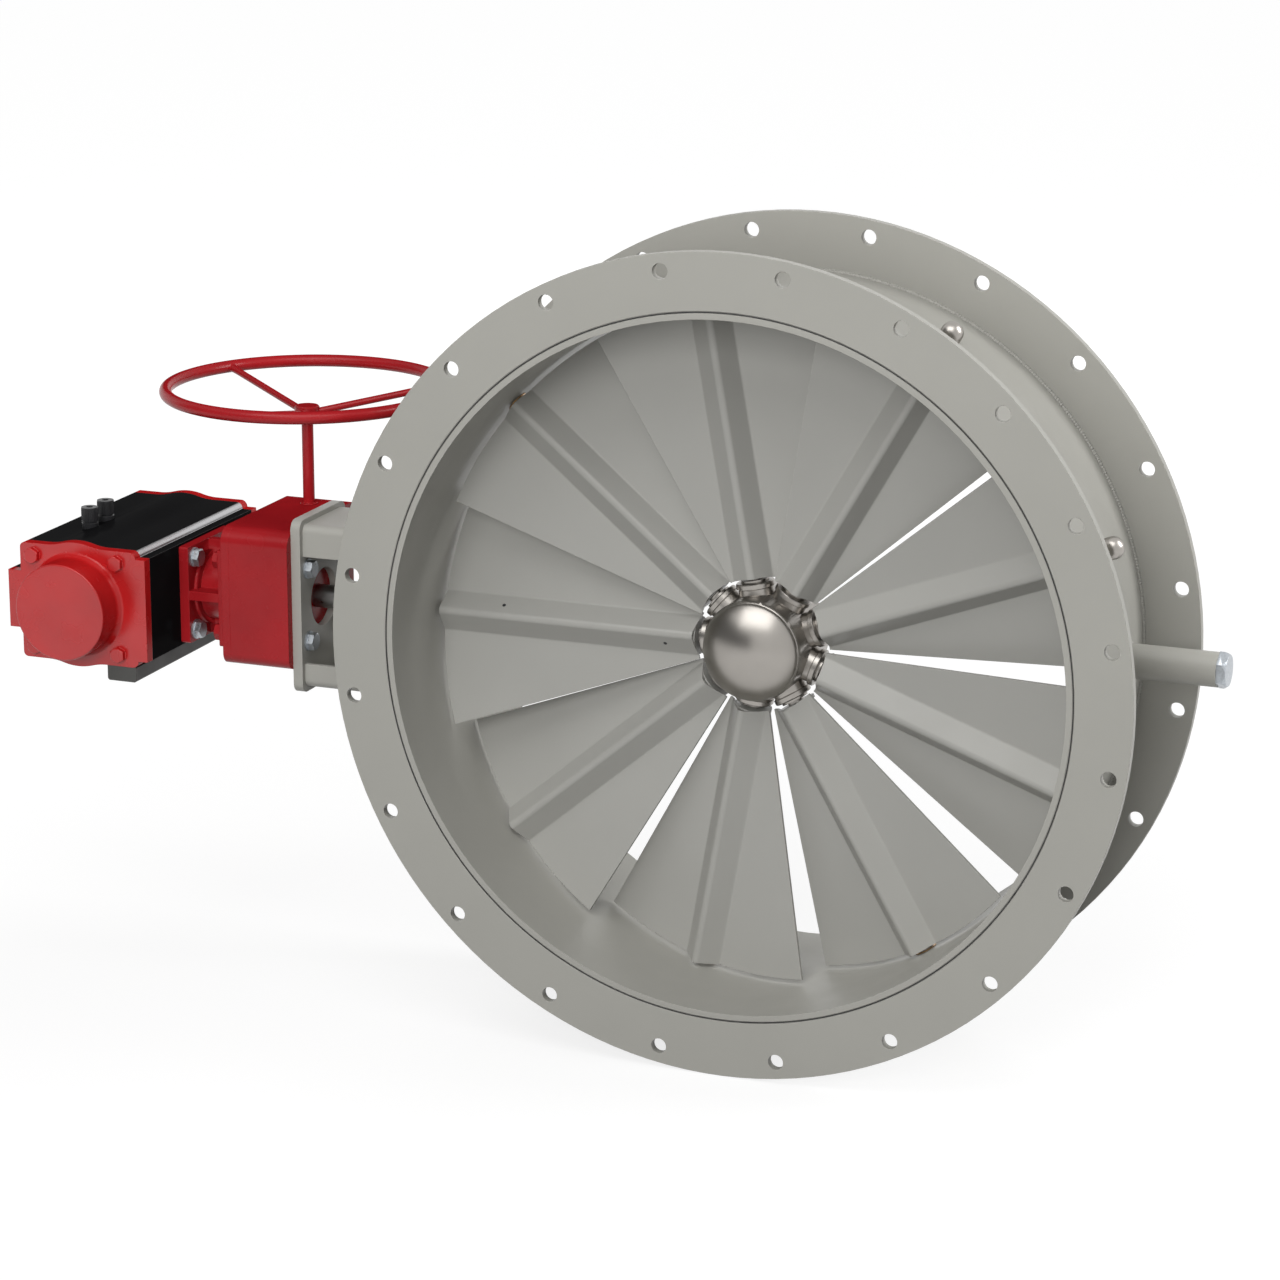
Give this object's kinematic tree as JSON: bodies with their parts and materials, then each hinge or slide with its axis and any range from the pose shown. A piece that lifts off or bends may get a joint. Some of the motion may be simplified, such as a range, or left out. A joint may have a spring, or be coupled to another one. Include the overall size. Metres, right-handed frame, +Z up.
{
  "type": "volume control damper",
  "caption": "Round flanged duct damper with radial folded vanes on a geared hub, turned by a pneumatic actuator through a handwheel gearbox.",
  "frame": {"origin": "centre of the inlet flange's outer face, on the duct axis", "axes": "+Y along the duct axis into the damper, +Z up, -X towards the drive"},
  "size_m": [1.4356, 0.442, 0.95],
  "materials": {
    "casing_paint": "semi-gloss",
    "vane_paint": "semi-gloss",
    "red_paint": "gloss",
    "red_cap": "gloss",
    "black_body": "gloss",
    "grey_rail": "satin",
    "black_plastic": "gloss",
    "polished_steel": "polished",
    "machined_steel": "machined",
    "zinc_steel": "zinc plated",
    "bronze": "machined",
    "cast_aluminium": "cast"
  },
  "bodies": {
    "root": {"casing_shell": "casing_paint", "inlet_flange": "casing_paint", "outlet_flange": "casing_paint", "casing_bushes": "bronze", "hub_bushes": "polished_steel", "hub_body": "polished_steel", "hub_front_dome": "polished_steel", "hub_rear_cover": "polished_steel", "crown_pivot": "machined_steel", "nozzle_pipe": "casing_paint", "nozzle_plug": "zinc_steel", "drive_bracket": "casing_paint", "bracket_plate": "casing_paint", "gearbox_housing": "red_paint", "gearbox_cover": "red_paint", "worm_bushes": "bronze", "adapter_spool": "red_paint", "flange_bolts": "zinc_steel", "actuator_body": "black_body", "actuator_end_cap_near": "red_cap", "actuator_end_cap_far": "red_cap", "cap_screws": "red_cap", "actuator_rail": "grey_rail", "air_fittings": "black_plastic"},
    "handwheel_set": {"handwheel": "red_paint", "worm_shaft": "machined_steel"},
    "drive": {"vane_1": "vane_paint", "vane_1_shaft": "polished_steel", "vane_1_pinion": "machined_steel", "drive_coupling": "machined_steel", "gearbox_stem": "machined_steel", "worm_wheel": "bronze", "actuator_pinion": "machined_steel"},
    "vane_2_set": {"vane_2": "vane_paint", "vane_2_shaft": "polished_steel", "vane_2_pinion": "machined_steel"},
    "vane_3_set": {"vane_3": "vane_paint", "vane_3_shaft": "polished_steel", "vane_3_pinion": "machined_steel"},
    "vane_4_set": {"vane_4": "vane_paint", "vane_4_shaft": "polished_steel", "vane_4_pinion": "machined_steel"},
    "vane_5_set": {"vane_5": "vane_paint", "vane_5_shaft": "polished_steel", "vane_5_pinion": "machined_steel"},
    "vane_6_set": {"vane_6": "vane_paint", "vane_6_shaft": "polished_steel", "vane_6_pinion": "machined_steel"},
    "vane_7_set": {"vane_7": "vane_paint", "vane_7_shaft": "polished_steel", "vane_7_pinion": "machined_steel"},
    "vane_8_set": {"vane_8": "vane_paint", "vane_8_shaft": "polished_steel", "vane_8_pinion": "machined_steel"},
    "vane_9_set": {"vane_9": "vane_paint", "vane_9_shaft": "polished_steel", "vane_9_pinion": "machined_steel"},
    "crown": {"crown_gear": "machined_steel"},
    "far_piston": {"piston_far": "cast_aluminium"},
    "near_piston": {"piston_near": "cast_aluminium"}
  },
  "joints": [
    {"name": "handwheel_turn", "type": "hinge", "parent": "root", "child": "handwheel_set", "pos_m": [-0.616, 0.23, 0.2324], "axis": [0, 0, 1], "range_deg": [-480, 3080]},
    {"name": "vane_1_turn", "type": "hinge", "parent": "root", "child": "drive", "pos_m": [-0.4, 0.15, 0], "axis": [-1, 0, 0], "range_deg": [-12, 77]},
    {"name": "vane_2_turn", "type": "hinge", "parent": "root", "child": "vane_2_set", "pos_m": [-0.18385, 0.15, 0.15427], "axis": [-0.766, 0, 0.6428], "range_deg": [-12, 77]},
    {"name": "vane_3_turn", "type": "hinge", "parent": "root", "child": "vane_3_set", "pos_m": [-0.04168, 0.15, 0.23635], "axis": [-0.1736, 0, 0.9848], "range_deg": [-12, 77]},
    {"name": "vane_4_turn", "type": "hinge", "parent": "root", "child": "vane_4_set", "pos_m": [0.12, 0.15, 0.20785], "axis": [0.5, 0, 0.866], "range_deg": [-12, 77]},
    {"name": "vane_5_turn", "type": "hinge", "parent": "root", "child": "vane_5_set", "pos_m": [0.22553, 0.15, 0.08209], "axis": [0.9397, 0, 0.342], "range_deg": [-12, 77]},
    {"name": "vane_6_turn", "type": "hinge", "parent": "root", "child": "vane_6_set", "pos_m": [0.22553, 0.15, -0.08209], "axis": [0.9397, 0, -0.342], "range_deg": [-12, 77]},
    {"name": "vane_7_turn", "type": "hinge", "parent": "root", "child": "vane_7_set", "pos_m": [0.12, 0.15, -0.20785], "axis": [0.5, 0, -0.866], "range_deg": [-12, 77]},
    {"name": "vane_8_turn", "type": "hinge", "parent": "root", "child": "vane_8_set", "pos_m": [-0.04168, 0.15, -0.23635], "axis": [-0.1736, 0, -0.9848], "range_deg": [-12, 77]},
    {"name": "vane_9_turn", "type": "hinge", "parent": "root", "child": "vane_9_set", "pos_m": [-0.18385, 0.15, -0.15427], "axis": [-0.766, 0, -0.6428], "range_deg": [-12, 77]},
    {"name": "crown_turn", "type": "hinge", "parent": "root", "child": "crown", "pos_m": [0, 0.17, 0], "axis": [0, 1, 0], "range_deg": [-21.4, 3.4]},
    {"name": "far_piston_slide", "type": "slide", "parent": "root", "child": "far_piston", "axis": [0, 1, 0], "range_m": [-0.0051, 0.0323]},
    {"name": "near_piston_slide", "type": "slide", "parent": "root", "child": "near_piston", "axis": [0, -1, 0], "range_m": [-0.0051, 0.0323]}
  ],
  "couplings": [
    {"joint": "vane_1_turn", "follows": "handwheel_turn", "ratio": 0.025},
    {"joint": "vane_2_turn", "follows": "handwheel_turn", "ratio": 0.025},
    {"joint": "vane_3_turn", "follows": "handwheel_turn", "ratio": 0.025},
    {"joint": "vane_4_turn", "follows": "handwheel_turn", "ratio": 0.025},
    {"joint": "vane_5_turn", "follows": "handwheel_turn", "ratio": 0.025},
    {"joint": "vane_6_turn", "follows": "handwheel_turn", "ratio": 0.025},
    {"joint": "vane_7_turn", "follows": "handwheel_turn", "ratio": 0.025},
    {"joint": "vane_8_turn", "follows": "handwheel_turn", "ratio": 0.025},
    {"joint": "vane_9_turn", "follows": "handwheel_turn", "ratio": 0.025},
    {"joint": "crown_turn", "follows": "handwheel_turn", "ratio": -0.0069444},
    {"joint": "far_piston_slide", "follows": "handwheel_turn", "m_per_rad": 0.0006},
    {"joint": "near_piston_slide", "follows": "handwheel_turn", "m_per_rad": 0.0006}
  ]
}
